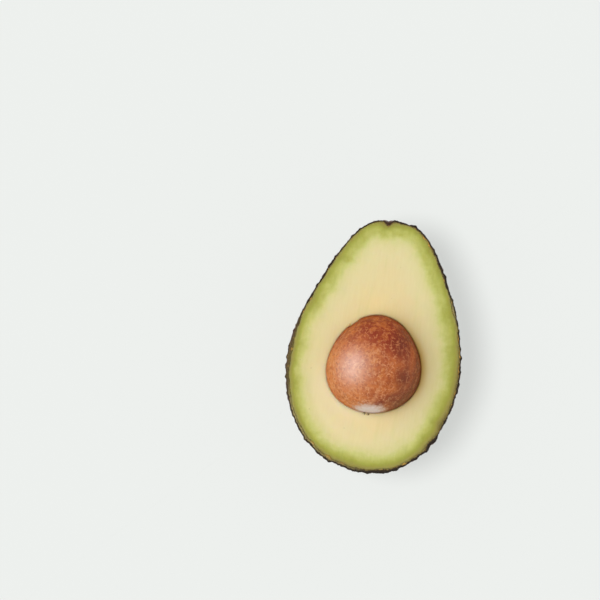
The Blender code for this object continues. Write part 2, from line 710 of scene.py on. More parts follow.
@dataclass
class Rind:
    """The skin's own relief and thickness, which the skin and the flesh both follow."""

    fruit: Fruit
    thickness: float = 0.85 * MM
    uneven: float = 0.32 * MM
    pebble: float = 2.5 * MM
    pebble_rise: float = 1.0 * MM
    rise_limits: tuple[float, float] = (-0.38 * MM, 0.70 * MM)
    thinnest: float = 0.5 * MM
    flecks: tuple[Fleck, ...] = (
        Fleck(76.3, 0.9, 0.95),
        Fleck(72.9, 1.2, 0.95),
        Fleck(240.6, 1.4, 0.6),
        Fleck(252.4, 1.8, 0.6),
        Fleck(260.7, 1.4, 0.5),
        Fleck(24.5, 3.4, 0.6),
        Fleck(16.0, 2.8, 0.5),
        Fleck(4.0, 4.0, 0.5),
        Fleck(349.0, 1.6, 0.4),
    )
    torn_edge: tuple[Swell, ...] = (
        Swell(318.0, 1.6, 0.50 * MM),
        Swell(314.4, 1.4, -0.30 * MM),
        Swell(311.2, 1.3, 0.50 * MM),
        Swell(308.4, 1.8, -0.30 * MM),
    )
    nick_bearing: float = 313.6
    shelf_bearing: float = 240.0
    tan_bearing: float = 181.0

    def relief(self, points: np.ndarray) -> tuple[np.ndarray, np.ndarray, np.ndarray]:
        """The pebbles on the skin.

        Args:
            points: places on the smooth outside, as rows of three.

        Returns:
            How far each place is pushed out, its pebble's height from 0 to 1, and a random
            number for each pebble.
        """
        bend = np.stack([Grain(20 + i).layered(points, 4 * MM, 2) for i in range(3)], axis=1)
        place = (points + 1.2 * MM * bend) * np.array([1.0, 0.76, 1.0])
        near, _, own = Grain(11).cells(place, self.pebble)
        small_near, _, _ = Grain(12).cells(place, self.pebble * 0.5)
        knob = eased(0.0, 1.0, 1 - near / (0.52 + 0.30 * own))
        small = eased(0.0, 1.0, 1 - small_near / 0.62)
        bold = 0.80 + 0.45 * Grain(13).layered(points, 15 * MM, 2)
        drawn_out = (points + MM * bend) * np.array([1.0, 0.5, 1.0])
        fold = 1 - np.abs(Grain(14).layered(drawn_out, 4 * MM, 2))
        height = (0.58 * knob * (0.45 + 0.55 * own) + 0.32 * small + 0.32 * (fold - 0.55)) * bold
        swell = Grain(15).layered(points, 24 * MM, 2)
        push = self.pebble_rise * (height - 0.26) + 0.16 * MM * swell
        push = push + hump(points[:, 2], self.fruit.cut, 2.5 * MM) * self._torn(points)
        return np.clip(push, *self.rise_limits), np.clip(height * 1.5, 0, 1), own

    def _torn(self, points: np.ndarray) -> np.ndarray:
        """How unevenly the knife has torn the rim's outer edge.

        Args:
            points: places on the smooth outside, as rows of three.

        Returns:
            How far each place would be pushed out if it lay in the rim.
        """
        bearing = np.arctan2(points[:, 1] - self.fruit.centre, points[:, 0])
        tooth = Grain(18).layered(points * np.array([1.0, 1.0, 0.5]), 1.9 * MM, 3) * 0.44 * MM
        wart, _, _ = Grain(29).cells(points, 3.3 * MM)
        tooth = tooth + (eased(0.42, 0.12, wart) * 0.42 - 0.10) * MM
        return tooth + sum(step.push(bearing) for step in self.torn_edge)

    def depth(self, angles: np.ndarray) -> np.ndarray:
        """How thick the skin is along the rim.

        Args:
            angles: bearings in radians.

        Returns:
            The thickness at each bearing.
        """
        ring = headings(angles, 0.0) * 40 * MM
        ragged = Grain(16).layered(ring, 1.9 * MM, 2) + 0.8 * Grain(17).layered(ring, 9 * MM, 2)
        deep = self.thickness + self.uneven * ragged
        deep += 1.0 * MM * self.tanned(angles)
        deep += 0.78 * MM * self.shelf(angles) + 0.60 * MM * self.amber(angles)
        deep += 0.45 * MM * hump(turned(angles, 62.0), 0.0, 14.0)
        deep += 0.85 * MM * hump(turned(angles, 282.0), 0.0, 21.0)
        deep += 1.1 * MM * hump(turned(angles, self.nick_bearing), 0.0, 4.2)
        deep -= 0.15 * MM * hump(turned(angles, 90.0), 0.0, 16.0)
        deep += 0.5 * MM * hump(turned(angles, self.fruit.pit_bearing), 0.0, 1.3)
        return np.maximum(deep, self.thinnest)

    def amber(self, angles: np.ndarray) -> np.ndarray:
        """How strongly the rim shows its few amber flecks, from 0 to 1."""
        return sum(fleck.shown(angles) for fleck in self.flecks)

    def tanned(self, angles: np.ndarray) -> np.ndarray:
        """How far the cut skin is dried to a flat brown along the rim, from 0 to 1."""
        return hump(turned(angles, self.tan_bearing), 0.0, 24.0)

    def shelf(self, angles: np.ndarray) -> np.ndarray:
        """How far the knife has left a pale shelf of inner skin along the rim.

        Args:
            angles: bearings in radians.

        Returns:
            The shelf's strength at each bearing, from 0 to 1.
        """
        away = turned(angles, self.shelf_bearing)
        broken = 0.75 + 0.5 * Grain(19).layered(headings(angles, 0.0) * 40 * MM, 5 * MM, 2)
        short = 0.9 * hump(turned(angles, 42.0), 0.0, 4.5)
        return np.clip(eased(-46.0, -30.0, away) * eased(38.0, 20.0, away) * broken + short, 0, 1)


@dataclass(frozen=True)
class SkinFinish:
    """Dark, leathery avocado skin: purple-brown with olive, pale specks and a satin gloss."""

    dark_tone_and_furrow_shade: Colour = tint(38, 18, 11)
    brown: Colour = tint(104, 54, 34)
    red: Colour = tint(96, 36, 25)
    olive: Colour = tint(92, 70, 32)
    knob: Colour = tint(136, 86, 60)
    speck: Colour = tint(186, 148, 88)
    dark_rim_band: Colour = tint(44, 30, 9)
    dark_cut: Steps = (
        (0.0, tint(30, 21, 8)),
        (0.52, tint(36, 26, 12)),
        (0.72, tint(70, 55, 27)),
        (0.88, tint(116, 100, 52)),
        (1.0, tint(146, 130, 70)),
    )
    pale_cut: Steps = (
        (0.0, tint(28, 20, 8)),
        (0.30, tint(44, 33, 15)),
        (0.40, tint(124, 108, 62)),
        (0.52, tint(162, 148, 98)),
        (0.74, tint(166, 152, 96)),
        (0.84, tint(104, 94, 38)),
        (0.92, tint(98, 92, 34)),
        (1.0, tint(136, 136, 52)),
    )
    tanned_cut: Steps = (
        (0.0, tint(40, 29, 19)),
        (0.14, tint(106, 86, 58)),
        (0.50, tint(98, 82, 46)),
        (0.85, tint(104, 92, 42)),
        (1.0, tint(126, 118, 50)),
    )
    amber_cut: Colour = tint(206, 162, 72)
    wood: Colour = tint(84, 50, 26)

    def _outside(self, sheet: Sheet) -> Socket:
        """The peel's colour on its pebbled outside, with painted light on the pebbles' tops and painted shade
        in their furrows.

        Args:
            sheet: the skin's node tree.

        Returns:
            The colour.
        """
        place = sheet.place()
        long_place = sheet.place(stretch=(1.0, 2.2, 1.0))
        height = sheet.painted("pebble")
        reddish = sheet.span(sheet.noise(long_place, 13 * MM, 3, 0.55, 0.6), 0.40, 0.66)
        body = sheet.mix(reddish, self.brown, self.red)
        green = sheet.span(sheet.noise(place, 19 * MM, 4, 0.6, 0.8), 0.56, 0.72, 0.0, 0.8)
        body = sheet.mix(green, body, self.olive)
        # Painted light: the pebbles' tops lighter. Painted shade: their furrows darker. The same dark brown
        # also darkens some pebbles at random, as their own tone.
        body = sheet.mix(sheet.span(height, 0.25, 0.85, 0.0, 0.6), body, self.knob)
        body = sheet.mix(sheet.span(height, 0.0, 0.34, 0.7, 0.0), body, self.dark_tone_and_furrow_shade)
        body = sheet.mix(sheet.span(sheet.painted("tone"), 0.3, 0.95, 0.0, 0.22), body, self.dark_tone_and_furrow_shade)
        fleck = sheet.span(sheet.cells(place, 2.6 * MM), 0.10, 0.17, 1.0, 0.0)
        where = sheet.span(sheet.noise(place, 15 * MM, 2), 0.42, 0.58, 0.0, 0.8)
        body = sheet.mix(sheet.sum(Sum.TIMES, fleck, where), body, self.speck)
        mottled = sheet.ramp(sheet.noise(place, 0.8 * MM, 4, 0.65), ((0.3, grey(105)), (0.7, grey(212))))
        return sheet.mix(0.4, body, mottled, Mix.OVERLAY)

    def _cut(self, sheet: Sheet, through: Socket) -> Socket:
        """The colour across the skin's thickness, where the knife went through it.

        Args:
            sheet: the skin's node tree.
            through: how deep a place lies in the thickness, from 0 outside to 1 at the flesh.

        Returns:
            The colour.
        """
        place = sheet.place()
        wander = sheet.sum(Sum.TAKE, sheet.noise(place, 1.0 * MM, 3, 0.6), 0.5)
        ragged = sheet.sum(Sum.ADD, through, sheet.sum(Sum.TIMES, wander, 0.75))
        dark = sheet.ramp(ragged, self.dark_cut)
        cut = sheet.mix(sheet.painted("shelf"), dark, sheet.ramp(ragged, self.pale_cut))
        cut = sheet.mix(sheet.painted("tanned"), cut, sheet.ramp(ragged, self.tanned_cut))
        amber = sheet.span(sheet.noise(place, 2.6 * MM, 3, 0.6), 0.60, 0.68, 0.0, 0.8)
        amber = sheet.sum(Sum.MOST, amber, sheet.painted("amber"))
        inner = sheet.span(ragged, 0.45, 0.7)
        cut = sheet.mix(sheet.sum(Sum.TIMES, amber, inner), cut, self.amber_cut)
        cut = sheet.mix(sheet.painted("woody"), cut, self.wood)
        speckle = sheet.ramp(sheet.noise(place, 0.5 * MM, 3), ((0.3, grey(112)), (0.7, grey(205))))
        return sheet.mix(0.6, cut, speckle, Mix.OVERLAY)

    def material(self) -> bpy.types.Material:
        """Builds the skin's finish.

        Returns:
            The finish.
        """
        sheet = Sheet("avocado_skin")
        through = sheet.painted("through")
        dark_rim_band = sheet.painted("dark_rim_band")
        edge = sheet.span(through, 0.0, 0.08)
        body = sheet.mix(dark_rim_band, self._outside(sheet), self.dark_rim_band)
        body = sheet.mix(edge, body, self._cut(sheet, through))
        rough = sheet.span(sheet.painted("pebble"), 0.1, 0.7, 0.44, 0.22)
        rough = sheet.sum(Sum.MOST, rough, sheet.sum(Sum.TIMES, edge, 0.7))
        moved = sheet.pulled(sheet.place(), 2.0 * MM, 0.8 * MM)
        bead = sheet.relief(sheet.span(sheet.cells(moved, 1.2 * MM), 0.1, 0.6, 1.0, 0.0), 0.16 * MM)
        fine = sheet.relief(sheet.noise(sheet.place(), 0.45 * MM, 4, 0.6), 0.07 * MM, bead)
        gloss = sheet.span(dark_rim_band, 0.01, 0.5, 0.36, 0.06)
        gloss = sheet.sum(Sum.LEAST, gloss, sheet.span(through, 0.0, 0.08, 0.36, 0.10))
        sheet.dress(Base_Color=body, Roughness=rough, Normal=fine, Specular_IOR_Level=gloss)
        return sheet.material


@dataclass
class Skin:
    """The peel of the half fruit, from its ragged cut rim down to the spot it lies on."""

    fruit: Fruit
    rind: Rind
    finish: SkinFinish = field(default_factory=SkinFinish)
    rim_points: int = 810
    rows: int = 162
    lining_points: int = 144
    lining_rows: int = 24
    lining_dip: float = math.radians(4)
    lining_depth: float = 1.4 * MM
    lining_floor: float = 0.6 * MM
    edge_drop: float = 0.16 * MM
    press: float = 0.1 * MM
    rim_shares: tuple[float, ...] = (1.0, 0.84, 0.68, 0.52, 0.36, 0.20, 0.08)

    def _outer(self, angles: np.ndarray, dip: float) -> tuple[np.ndarray, dict[str, np.ndarray]]:
        """One row of the pebbled outside.

        Args:
            angles: the row's bearings.
            dip: how far the row lies below the cut face, as an angle.

        Returns:
            The row's points, and its painted numbers.
        """
        smooth, normals = self.fruit.outside(headings(angles, dip))
        push, height, own = self.rind.relief(smooth)
        points = smooth + normals * push[:, None]
        low = points[:, 2]
        points[:, 2] = (low + np.sqrt(low**2 + self.press**2)) / 2
        below = self.fruit.cut - smooth[:, 2]
        # A darker, less glossy band on the outside just under the rim.
        dark_rim_band = hump(below, 0.0, 0.9 * MM) * 0.9
        woody = self.fruit.near_pit(smooth, 1.9 * MM)
        paint = {"pebble": height, "tone": own, "dark_rim_band": dark_rim_band, "woody": woody}
        paint.update(shelf=0.0, tanned=0.0, amber=0.0)
        return points, paint

    def build(self) -> bpy.types.Object:
        """Builds the skin as one closed shell.

        Returns:
            The skin.
        """
        surface = Skeleton()
        names = ("pebble", "tone", "dark_rim_band", "woody", "shelf", "tanned", "amber")
        hidden = {**dict.fromkeys(names, 0.0), "through": 1.0}
        for row in range(self.lining_rows, -1, -1):
            dip = self.lining_dip + (math.pi / 2 - self.lining_dip) * row / self.lining_rows
            count = max(round(self.lining_points * math.cos(dip)), 12) if row < self.lining_rows else 1
            points, normals = self.fruit.outside(headings(self.fruit.bearings(count), dip))
            points = points - normals * self.lining_depth
            points[:, 2] = np.maximum(points[:, 2], self.lining_floor)
            surface.ring(points, **hidden)
        self._rim(surface)
        for row in range(1, self.rows + 1):
            dip = math.pi / 2 * row / self.rows
            count = max(round(self.rim_points * math.cos(dip)), 16) if row < self.rows else 1
            points, paint = self._outer(self.fruit.bearings(count), dip)
            surface.ring(points, through=0.0, **paint)
        return surface.build("avocado_skin", self.finish.material())

    def _rim(self, surface: Skeleton) -> None:
        """Adds the rim's rings, from the flesh side up and over to the outside.

        Args:
            surface: the skin's surface so far.
        """
        angles = self.fruit.bearings(self.rim_points)
        outer, paint = self._outer(angles, 0.0)
        smooth, normals = self.fruit.outside(headings(angles, 0.0))
        inner = smooth - normals * self.rind.depth(angles)[:, None]
        shelf = self.rind.shelf(angles)
        cut_paint = {**paint, "dark_rim_band": 0.0, "shelf": shelf, "pebble": 0.3, "tone": 0.3}
        cut_paint.update(tanned=self.rind.tanned(angles), amber=self.rind.amber(angles))
        up = np.array([0.0, 0.0, 1.0])
        surface.ring(inner - up * 1.0 * MM, through=1.0, **cut_paint)
        for share in self.rim_shares:
            points = inner * share + outer * (1 - share)
            torn = 0.09 * MM * Grain(31).layered(points, 0.9 * MM, 2)
            torn = torn + 0.06 * MM * Grain(32).smooth(points, 3 * MM)
            lift = torn * math.sin(math.pi * min(share + 0.2, 1.0)) - 0.22 * MM * shelf * (1 - share)
            lift = lift + 0.05 * MM * math.sin(math.pi * share) - 0.5 * MM * paint["woody"] * (1 - share)
            surface.ring(points + up * lift[:, None], through=max(share, 0.1), **cut_paint)
        surface.ring(outer - up * self.edge_drop, through=0.0, **paint)


@dataclass(frozen=True)
class FleshFinish:
    """Ripe flesh: green next to the skin, then pale yellow, warmer round the seed, with painted shadow and
    light beside and below it.
    """

    band: Steps = (
        (0.0, tint(120, 106, 50)),
        (0.8, tint(148, 136, 68)),
        (1.4, tint(161, 153, 74)),
        (2.2, tint(162, 160, 68)),
        (3.0, tint(169, 171, 74)),
        (4.4, tint(187, 188, 98)),
        (5.8, tint(203, 203, 124)),
        (7.4, tint(217, 211, 147)),
        (9.4, tint(224, 214, 159)),
        (12.0, tint(228, 216, 165)),
        (18.0, tint(230, 214, 162)),
    )
    warm: Colour = tint(240, 217, 158)
    fresh: Colour = tint(208, 207, 130)
    stain: Colour = tint(186, 142, 42)
    painted_light: Colour = tint(250, 236, 194)
    residue_and_crease_shade: Colour = tint(150, 100, 52)
    stem: Colour = tint(110, 76, 34)

    def _banded(self, sheet: Sheet, inset: Socket) -> Socket:
        """The colour by the distance from the skin, green to yellow, with wandering borders.

        Args:
            sheet: the flesh's node tree.
            inset: the distance from the skin, in millimetres.

        Returns:
            The colour.
        """
        place = sheet.place()
        drift = sheet.sum(Sum.TAKE, sheet.noise(place, 9 * MM, 3, 0.55, 0.5), 0.5)
        fine = sheet.sum(Sum.TAKE, sheet.noise(place, 1.6 * MM, 3, 0.6), 0.5)
        shift = sheet.sum(Sum.ADD, sheet.sum(Sum.TIMES, drift, 5.4), sheet.sum(Sum.TIMES, fine, 2.0))
        held = sheet.span(inset, 0.8, 4.0, 0.35, 1.0)
        deep = sheet.sum(Sum.ADD, inset, sheet.sum(Sum.TIMES, shift, held))
        widest = self.band[-1][0]
        steps = [(at / widest, shade) for at, shade in self.band]
        return sheet.ramp(sheet.scaled(deep, 0.0, widest), steps)

    def _shaded(self, sheet: Sheet, inset: Socket, colour: Socket) -> Socket:
        """Lays the warm middle, the cool streaks, the painted light below the seed, the seed's painted shadow
        and the residue with painted shade at the lip over the flesh's colour.

        Args:
            sheet: the flesh's node tree.
            inset: the distance from the skin, in millimetres.
            colour: the colour so far.

        Returns:
            The colour.
        """
        place = sheet.place()
        streaked = sheet.place(stretch=(1.0, 9.0, 1.0))
        cloud = sheet.span(sheet.noise(place, 12 * MM, 3), 0.3, 0.65, 0.35, 1.0)
        glow = sheet.sum(Sum.TIMES, sheet.painted("warmth"), cloud)
        colour = sheet.mix(sheet.sum(Sum.TIMES, glow, 0.7), colour, self.warm)
        cool = sheet.span(sheet.noise(streaked, 3.5 * MM, 3, 0.6, 0.3), 0.5, 0.75, 0.0, 0.2)
        cool = sheet.sum(Sum.TIMES, cool, sheet.span(inset, 7.0, 14.0))
        colour = sheet.mix(cool, colour, self.fresh)
        streak = sheet.noise(streaked, 0.8 * MM, 2, 0.5, 0.2)
        streak = sheet.ramp(streak, ((0.35, grey(150)), (0.65, grey(222))))
        colour = sheet.mix(0.06, colour, streak, Mix.OVERLAY)
        # Painted light: the flesh lightened below and left of the seed.
        colour = sheet.mix(sheet.painted("pale"), colour, self.painted_light)
        # Painted shadow: the seed's shadow on the flesh beside it, strongest on its right, away from the key
        # lamp.
        stained = sheet.painted("stained")
        colour = sheet.mix(stained, colour, self.stain)
        # Brown coat residue at the lip, deepened by painted shade in the crease, most where the seed's
        # painted shadow lies.
        residue_and_crease_share = sheet.span(sheet.painted("hollow"), 0.05, 0.6, 1.0, 0.0)
        residue_and_crease_share = sheet.sum(Sum.TIMES, residue_and_crease_share, sheet.sum(Sum.MOST, stained, 0.2))
        return sheet.mix(residue_and_crease_share, colour, self.residue_and_crease_shade)

    def material(self) -> bpy.types.Material:
        """Builds the flesh's finish.

        Returns:
            The finish.
        """
        sheet = Sheet("avocado_flesh")
        place = sheet.place()
        inset = sheet.painted("inset")
        colour = self._shaded(sheet, inset, self._banded(sheet, inset))
        fleck = sheet.span(sheet.cells(place, 5.3 * MM), 0.03, 0.06, 0.22, 0.0)
        colour = sheet.mix(sheet.sum(Sum.TIMES, fleck, sheet.span(inset, 3.0, 6.0)), colour, self.stem)
        knot = sheet.span(sheet.noise(place, 1.1 * MM, 3), 0.25, 0.6, 0.5, 1.0)
        colour = sheet.mix(sheet.sum(Sum.TIMES, sheet.painted("woody"), knot), colour, self.stem)
        rough = sheet.span(sheet.noise(place, 5 * MM, 3), 0.3, 0.7, 0.36, 0.5)
        long_place = sheet.place(stretch=(1.0, 6.0, 1.0))
        smear = sheet.relief(sheet.noise(long_place, 1.1 * MM, 4, 0.55), 0.05 * MM)
        grain = sheet.relief(sheet.noise(place, 0.35 * MM, 3, 0.5), 0.02 * MM, smear)
        sheet.dress(Base_Color=colour, Roughness=rough, Normal=grain, Specular_IOR_Level=0.4)
        sheet.dress(Subsurface_Weight=0.5, Subsurface_Scale=2.8 * MM, Subsurface_Radius=(1.0, 0.62, 0.22))
        return sheet.material


@dataclass(frozen=True)
class Lobe:
    """A wave round the seed's girth: how many times it rises, how much, and where it is highest."""

    times: int
    rise: float
    bearing: float

    def push(self, angles: np.ndarray, level: np.ndarray) -> np.ndarray:
        """How far it pushes the seed's side out.

        Args:
            angles: bearings in radians.
            level: how level each direction is, from 0 upright to 1.

        Returns:
            The push in each direction.
        """
        wave = np.cos(self.times * (angles - math.radians(self.bearing)))
        return self.rise * wave * level ** (self.times + 1)


@dataclass
class SeedShape:
    """The seed's form: nearly round, a little three-sided, with a flake gone from its coat."""

    middle: np.ndarray
    half: np.ndarray
    lobes: tuple[Lobe, ...] = (Lobe(1, 0.52 * MM, -49), Lobe(2, 0.46 * MM, 64), Lobe(3, 0.50 * MM, -28))
    slack: float = 0.1 * MM
    flat_side: Swell = Swell(36.0, 38.0, -0.78 * MM)
    flake_bearing: float = 125.0
    flake_depth: float = 0.45 * MM

    def flake(self, directions: np.ndarray) -> np.ndarray:
        """How much of the coat is gone where it flaked off near the cut face.

        Args:
            directions: unit directions, as rows of three.

        Returns:
            The share that is gone in each direction, from 0 to 1.
        """
        bearing = turned(np.arctan2(directions[:, 1], directions[:, 0]), self.flake_bearing)
        bearing = bearing + 3.0 * Grain(43).layered(directions, 0.12)
        low = np.abs(directions[:, 2] - 0.02 * Grain(44).layered(directions, 0.2))
        return eased(-8.0, -6.5, -bearing) * eased(9.0, 5.0, -bearing) * eased(0.30, 0.24, low)

    def reach(self, directions: np.ndarray) -> np.ndarray:
        """The distance from the middle to the surface.

        Args:
            directions: unit directions, as rows of three.

        Returns:
            The distance in each direction.
        """
        far = 1 / np.linalg.norm(directions / self.half, axis=1)
        bearing = np.arctan2(directions[:, 1], directions[:, 0])
        level = np.hypot(directions[:, 0], directions[:, 1])
        for lobe in self.lobes:
            far += lobe.push(bearing, level)
        far += 0.10 * MM * Grain(41).smooth(directions, 0.6)
        far += 0.035 * MM * Grain(42).layered(directions, 0.12)
        far += (self.flat_side.push(bearing) - self.slack) * level**2
        return far - self.flake_depth * self.flake(directions)

    def surface(self, directions: np.ndarray, grown: float = 0.0) -> np.ndarray:
        """Points on the seed, or on a shell round it.

        Args:
            directions: unit directions, as rows of three.
            grown: how far the shell stands off the seed.

        Returns:
            The points, as rows of three.
        """
        return self.middle + directions * (self.reach(directions) + grown)[:, None]


@dataclass
class Flesh:
    """The cut flesh: the hollow, its lip, the cut face and the outside under the skin."""

    fruit: Fruit
    rind: Rind
    seed: SeedShape
    finish: FleshFinish = field(default_factory=FleshFinish)
    clearance: float = -0.02 * MM
    looseness: float = 0.20 * MM
    lip: float = 0.10 * MM
    hair: float = 0.01 * MM
    hollow_rows: int = 40
    hollow_top: float = 0.03
    face_rows: int = 76
    lip_points: int = 320
    rim_points: int = 700
    lining_points: int = 150
    lining_rows: int = 22
    lining_dip: float = math.radians(4)
    lining_depth: float = 2.2 * MM
    lining_floor: float = 0.8 * MM
    stained_bearing: float = 10.0
    loose_bearing: float = 355.0
    ripe_bearing: float = 230.0

    def _height(self, points: np.ndarray, inset: np.ndarray, hollow: np.ndarray) -> np.ndarray:
        """How far the cut face stands off its plane, as a knife and the soft flesh leave it.

        Args:
            points: places on the face.
            inset: each place's distance from the fruit's outside.
            hollow: each place's distance from the hollow.

        Returns:
            The height above the plane at each place.
        """
        waves = 0.10 * MM * Grain(51).layered(points, 22 * MM, 2)
        smear = 0.018 * MM * Grain(52).layered(points * np.array([1.0, 0.12, 1.0]), 1.6 * MM, 2)
        raised = 0.16 * MM * hump(hollow, 0.6 * MM, 1.6 * MM)
        rounded = 0.03 * MM * eased(1.6 * MM, 0.6 * MM, inset)
        return waves + smear + raised - rounded

    def build(self) -> bpy.types.Object:
        """Builds the flesh as one closed body.

        Returns:
            The flesh.
        """
        surface = Skeleton()
        self._hollow(surface)
        self._face(surface)
        self._underside(surface)
        return surface.build("avocado_flesh", self.finish.material())

    def _gap(self, angles: np.ndarray) -> np.ndarray:
        """The clearance between seed and flesh, wider where the seed has come loose.

        Args:
            angles: bearings in radians.

        Returns:
            The clearance at each bearing.
        """
        loose = hump(turned(angles, self.loose_bearing), 0.0, 70.0)
        wander = 0.6 + 0.4 * Grain(53).smooth(headings(angles, 0.0), 0.25)
        return self.clearance + self.looseness * loose * wander

    def _hollow(self, surface: Skeleton) -> None:
        """Adds the hollow's rings, from its lowest point up to the lip.

        Args:
            surface: the flesh's surface so far.
        """
        for row in range(self.hollow_rows + 1):
            dip = math.pi / 2 - (math.pi / 2 - self.hollow_top) * row / self.hollow_rows
            count = max(round(self.lip_points * math.cos(dip)), 12) if row else 1
            angles = self.fruit.bearings(count)
            outward = headings(angles, dip)
            points = self.seed.surface(outward) + outward * self._gap(angles)[:, None]
            # The hollow under the seed carries the seed's painted shadow at half strength.
            surface.ring(points, inset=15.0, hollow=0.0, warmth=0.4, stained=0.5, woody=0.0, pale=0.0)

    def _face(self, surface: Skeleton) -> None:
        """Adds the cut face's rings, from the lip to the skin.

        Args:
            surface: the flesh's surface so far.
        """
        for row in range(self.face_rows + 1):
            share = row / self.face_rows
            count = round(self.lip_points + (self.rim_points - self.lip_points) * share)
            angles = self.fruit.bearings(count)
            flat = headings(angles, 0.0)
            lip = self.seed.surface(flat) + flat * (self._gap(angles) + self.hair)[:, None]
            lip[:, 2] = self.fruit.cut
            smooth, normals = self.fruit.outside(flat)
            rim = smooth - normals * (self.rind.depth(angles) + self.hair)[:, None]
            points = lip * (1 - share) + rim * share
            hollow = np.linalg.norm(points - lip, axis=1)
            slant = np.abs((flat * normals).sum(axis=1))
            inset = np.linalg.norm(smooth - points, axis=1) * slant
            inset = np.minimum(inset, self._to_outline(points))
            sunk = self.lip * (0.1 + 0.9 * hump(turned(angles, self.stained_bearing), 0.0, 80.0))
            edge = eased(self.lip, 0.0, hollow) * sunk
            points[:, 2] = self.fruit.cut + self._height(points, inset, hollow) - edge
            ripe = inset / MM + self._ripeness_and_shade(angles, inset)
            surface.ring(points, inset=ripe, hollow=hollow / MM, **self._marks(points, angles, inset, hollow))

    def _ripeness_and_shade(self, angles: np.ndarray, inset: np.ndarray) -> np.ndarray:
        """How much deeper in from the skin the flesh looks than it lies, in millimetres, with painted shade
        and light from side to side.

        Args:
            angles: bearings in radians.
            inset: each place's distance from the fruit's outside.

        Returns:
            The extra depth at each place, negative where the green reaches further in.
        """
        upper = 0.9 * np.maximum(np.sin(angles), 0.0) * (1 - 1.6 * eased(3.0 * MM, 5.5 * MM, inset))
        lower = 0.9 * np.minimum(np.sin(angles), 0.0)
        # Painted shade and light: the cos term and the dip at bearing 0 make the green reach further in on
        # the right, away from the key lamp, and less far on the lit left.
        ripe = (upper + lower) * eased(0.2 * MM, 1.6 * MM, inset) - 0.25 * np.cos(angles)
        ripe += 1.0 * hump(turned(angles, self.ripe_bearing), 0.0, 24.0) * eased(2.2 * MM, 4.0 * MM, inset)
        ripe -= 0.55 * hump(turned(angles, 0.0), 0.0, 42.0)
        ripe -= 1.2 * self.rind.tanned(angles) * eased(4.5 * MM, 2.2 * MM, inset)
        return ripe

    def _marks(
        self, points: np.ndarray, angles: np.ndarray, inset: np.ndarray, hollow: np.ndarray
    ) -> dict[str, np.ndarray]:
        """Numbers that the finish reads on the cut face.

        Args:
            points: places on the face.
            angles: their bearings in radians.
            inset: each place's distance from the fruit's outside.
            hollow: each place's distance from the hollow.

        Returns:
            warmth, in line with the fruit above and below the seed; the painted shadow that the seed casts
            on the flesh beside it, away from the key lamp; woody, at the stem; and pale, painted light that
            lightens the flesh below and left of the seed.
        """
        # Painted shadow of the seed on the flesh at its right, away from the key lamp.
        side = 0.05 + 0.95 * hump(turned(angles, self.stained_bearing), 0.0, 58.0)
        # Painted light: the flesh lightened below the seed and on the lower left, towards the key lamp.
        pale = 0.8 * hump(hollow, 0.0, 4.0 * MM) * hump(turned(angles, 243.0), 0.0, 44.0)
        pale += 0.30 * hump(turned(angles, 215.0), 0.0, 45.0) * eased(8.0 * MM, 12.0 * MM, inset)
        return {
            "warmth": hump(points[:, 0], 0.0, 11 * MM) * hump(hollow, 3 * MM, 7 * MM),
            "stained": side * (0.66 * hump(hollow, 0.0, 2.1 * MM) + 0.20 * hump(hollow, 0.0, 5.5 * MM)),
            "woody": self.fruit.near_pit(points, 2.6 * MM),
            "pale": np.clip(pale, 0, 1),
        }

    def _to_outline(self, points: np.ndarray) -> np.ndarray:
        """Each place's distance to the fruit's outline in the cut face."""
        outline, _ = self.fruit.outside(headings(self.fruit.bearings(420), 0.0))
        return np.sqrt(((points[:, None, :2] - outline[None, :, :2]) ** 2).sum(axis=2).min(axis=1))

    def _underside(self, surface: Skeleton) -> None:
        """Adds the outside's rings, which the skin covers, down to the lowest point.

        Args:
            surface: the flesh's surface so far.
        """
        for row in range(self.lining_rows + 1):
            dip = self.lining_dip + (math.pi / 2 - self.lining_dip) * row / self.lining_rows
            count = max(round(self.lining_points * math.cos(dip)), 12) if row < self.lining_rows else 1
            points, normals = self.fruit.outside(headings(self.fruit.bearings(count), dip))
            points = points - normals * self.lining_depth
            points[:, 2] = np.maximum(points[:, 2], self.lining_floor)
            surface.ring(points, inset=1.3, hollow=20.0, warmth=0.0, stained=0.0, woody=0.0, pale=0.0)


